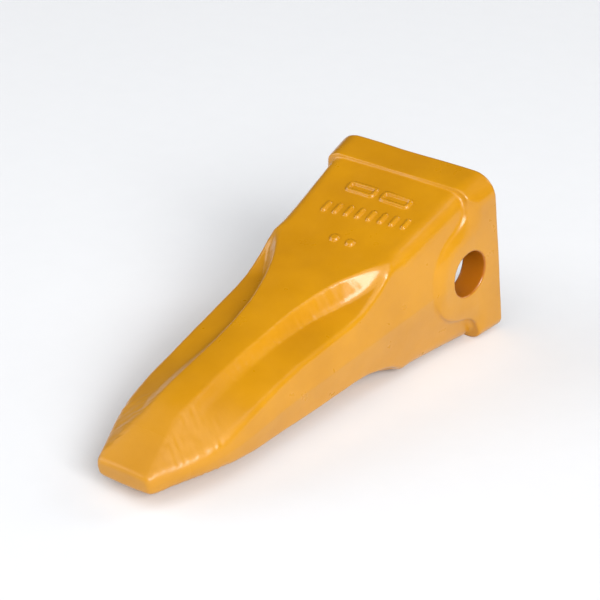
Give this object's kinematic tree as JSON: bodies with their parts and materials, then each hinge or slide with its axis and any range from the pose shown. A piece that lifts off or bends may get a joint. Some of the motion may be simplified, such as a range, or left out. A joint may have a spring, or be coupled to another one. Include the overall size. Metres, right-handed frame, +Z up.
{
  "type": "excavator bucket tooth",
  "caption": "Side-pin bucket tooth with a ribbed wedge point, an open nose pocket, cross-drilled ears and a sliding retaining pin held by a cushioned lock ring.",
  "frame": {"origin": "the point where the pin bore's axis crosses the tooth's plane of symmetry", "axes": "+X along the pin bore to the right seen from behind, +Y from the tip towards the open rear, +Z up with the tooth lying on its lower face"},
  "size_m": [0.1106, 0.2549, 0.0962],
  "materials": {
    "enamel": "glossy orange-yellow enamel over a sand casting",
    "pin_steel": "turned and hardened, lightly oiled",
    "spring_steel": "blued spring steel",
    "rubber": "matt black"
  },
  "bodies": {
    "point": {"tooth_point": "enamel", "lock_cushion": "rubber", "lock_ring": "spring_steel"},
    "pin": {"retaining_pin": "pin_steel"}
  },
  "joints": [
    {"name": "pin_slide", "type": "slide", "parent": "point", "child": "pin", "axis": [1, 0, 0], "range_m": [-0.085, 0.016]}
  ]
}
